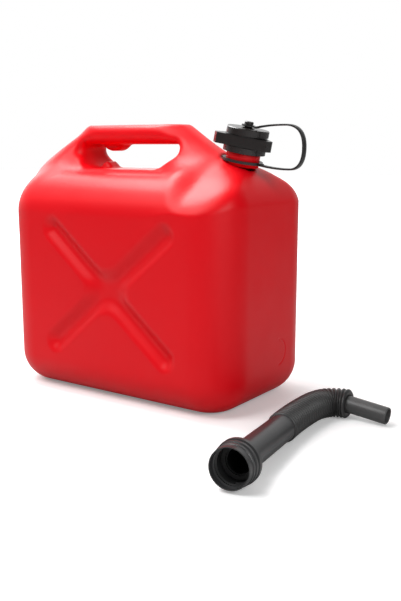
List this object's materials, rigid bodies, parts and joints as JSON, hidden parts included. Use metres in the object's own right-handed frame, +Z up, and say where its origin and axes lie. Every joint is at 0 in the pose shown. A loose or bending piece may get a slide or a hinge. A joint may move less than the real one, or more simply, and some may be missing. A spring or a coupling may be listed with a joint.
{
  "type": "fuel can",
  "caption": "Blow-moulded plastic fuel can with an integral hand grip, tilted screw neck, winged cap on a strap, and a loose flexible pouring spout beside it.",
  "frame": {"origin": "centre of the can's footprint on the surface it stands on", "axes": "+X along the can towards the neck, +Y across it to the back, +Z up"},
  "size_m": [0.4196, 0.2971, 0.2873],
  "materials": {
    "can_red": "semi-gloss blow-moulded polyethylene",
    "cap_black": "semi-gloss injection-moulded",
    "strap_black": "satin flexible plastic",
    "seal_rubber": "matte",
    "spout_grey": "satin injection-moulded",
    "hose_grey": "satin corrugated",
    "nozzle_grey": "satin"
  },
  "bodies": {
    "can": {"can_body": "can_red"},
    "strap": {"strap_neck_loop": "strap_black", "strap_band": "strap_black"},
    "strap_eye": {"strap_cap_eye": "strap_black"},
    "cap_unit": {"cap": "cap_black", "cap_seal": "seal_rubber"},
    "spout": {"spout_tube": "spout_grey", "spout_seal": "seal_rubber", "spout_hose": "hose_grey"},
    "nozzle": {"spout_nozzle": "nozzle_grey"}
  },
  "joints": [
    {"name": "strap_swivel", "type": "hinge", "parent": "can", "child": "strap", "pos_m": [0.1112, 0, 0.247], "axis": [0.1994, 0, 0.9799], "range_deg": [-60, 60]},
    {"name": "cap_lift", "type": "slide", "parent": "strap", "child": "strap_eye", "axis": [0.1994, 0, 0.9799], "range_m": [0, 0.0124], "deforming": ["strap_band"]},
    {"name": "cap_turn", "type": "hinge", "parent": "strap_eye", "child": "cap_unit", "pos_m": [0.1112, 0, 0.247], "axis": [0.1994, 0, 0.9799], "range_deg": [0, 990]},
    {"name": "spout_lift", "type": "slide", "parent": "can", "child": "spout", "axis": [0, 0, 1], "range_m": [0, 0.2]},
    {"name": "spout_bend", "type": "hinge", "parent": "spout", "child": "nozzle", "pos_m": [0.2118, 0.0031, 0.0144], "axis": [0, 0, 1], "range_deg": [-15, 50], "deforming": ["spout_hose"]}
  ],
  "couplings": [
    {"joint": "cap_lift", "follows": "cap_turn", "m_per_rad": 0.0007162}
  ]
}
